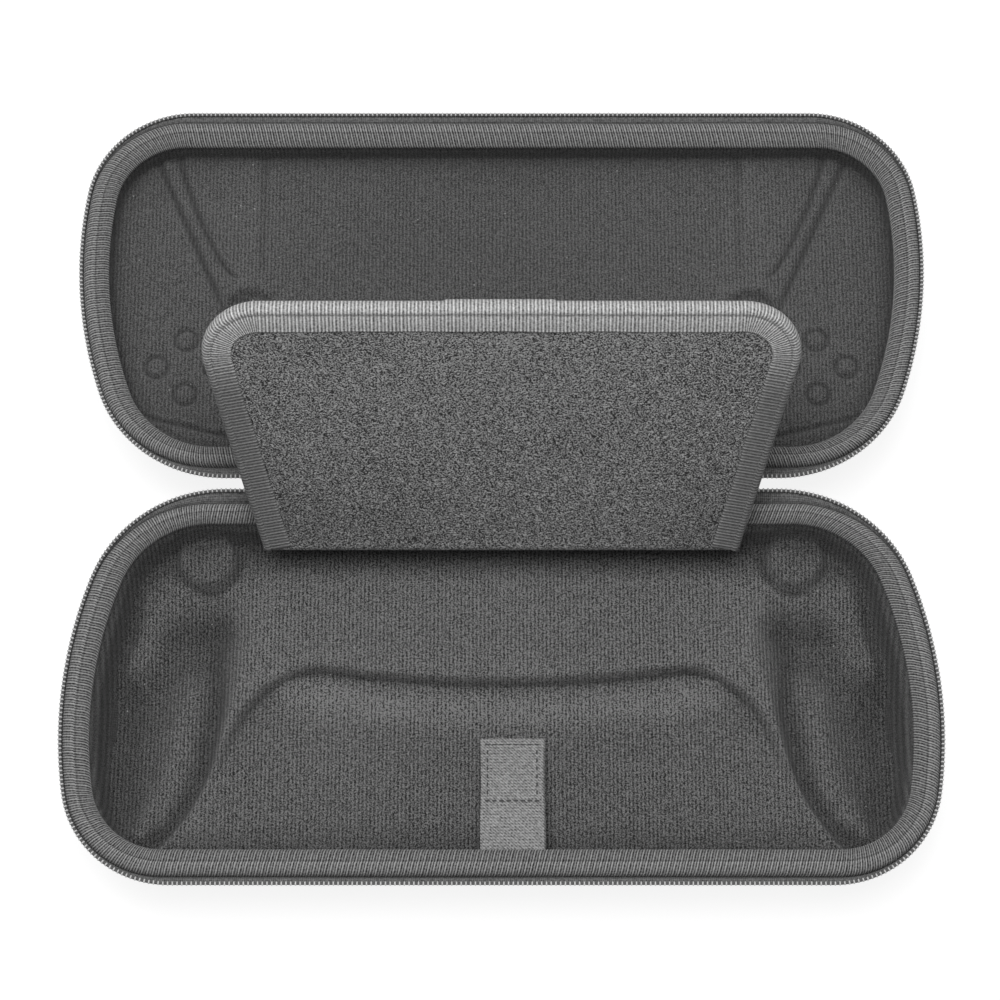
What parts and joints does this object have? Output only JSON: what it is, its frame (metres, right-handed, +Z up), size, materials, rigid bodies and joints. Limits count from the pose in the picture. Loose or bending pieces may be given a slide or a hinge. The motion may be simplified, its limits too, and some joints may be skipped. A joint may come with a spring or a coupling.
{
  "type": "portable game console case",
  "caption": "Zipped hard-shell carrying case for a handheld game console, lying open, with a moulded lined tray, a hinged screen flap and a strap.",
  "frame": {"origin": "on the table under the middle of the hinge line between base and lid", "axes": "+X to the right along the hinge, +Y from the hinge towards the opened lid, +Z up"},
  "size_m": [0.3058, 0.292, 0.123],
  "materials": {
    "shell_cloth": "woven cloth on foam",
    "lining_knit": "fine ribbed knit on moulded foam",
    "edge_tape": "ribbed woven tape",
    "zip_tape": "woven",
    "zip_chain": "moulded coil",
    "zip_metal": "satin paint",
    "strap_web": "twill webbing",
    "hook_tape": "hook tape",
    "felt": "napped felt",
    "board": "cloth-covered stiff board"
  },
  "bodies": {
    "base": {"base_shell": "shell_cloth", "base_tray": "lining_knit", "base_binding": "edge_tape", "base_zipper_tape": "zip_tape", "base_zipper_coil": "zip_chain", "strap": "strap_web", "strap_hook_patch": "hook_tape", "zipper_slider_left": "zip_metal", "zipper_slider_right": "zip_metal", "hinge_strip": "zip_tape", "flap_hinge_strip": "edge_tape"},
    "puller_left": {"zipper_puller_left": "zip_metal"},
    "puller_right": {"zipper_puller_right": "zip_metal"},
    "lid": {"lid_shell": "shell_cloth", "lid_lining": "lining_knit", "lid_binding": "edge_tape", "lid_zipper_tape": "zip_tape", "lid_zipper_coil": "zip_chain"},
    "flap": {"flap_board": "board", "flap_front_face": "felt", "flap_back_face": "felt", "flap_binding": "edge_tape", "flap_loop_patch": "felt"}
  },
  "joints": [
    {"name": "lid_hinge", "type": "hinge", "parent": "base", "child": "lid", "pos_m": [0, 0, 0.0383], "axis": [1, 0, 0], "range_deg": [0, 180], "deforming": ["hinge_strip"]},
    {"name": "flap_fold", "type": "hinge", "parent": "base", "child": "flap", "pos_m": [0, -0.022, 0.036], "axis": [1, 0, 0], "range_deg": [0, 122]},
    {"name": "puller_left_swing", "type": "hinge", "parent": "base", "child": "puller_left", "pos_m": [-0.0755, -0.00335, 0.031], "axis": [0, 1, 0], "range_deg": [-80, 80]},
    {"name": "puller_right_swing", "type": "hinge", "parent": "base", "child": "puller_right", "pos_m": [0.0755, -0.00335, 0.031], "axis": [0, 1, 0], "range_deg": [-80, 80]}
  ],
  "couplings": [
    {"joint": "flap_fold", "follows": "lid_hinge", "ratio": 0.6777}
  ]
}
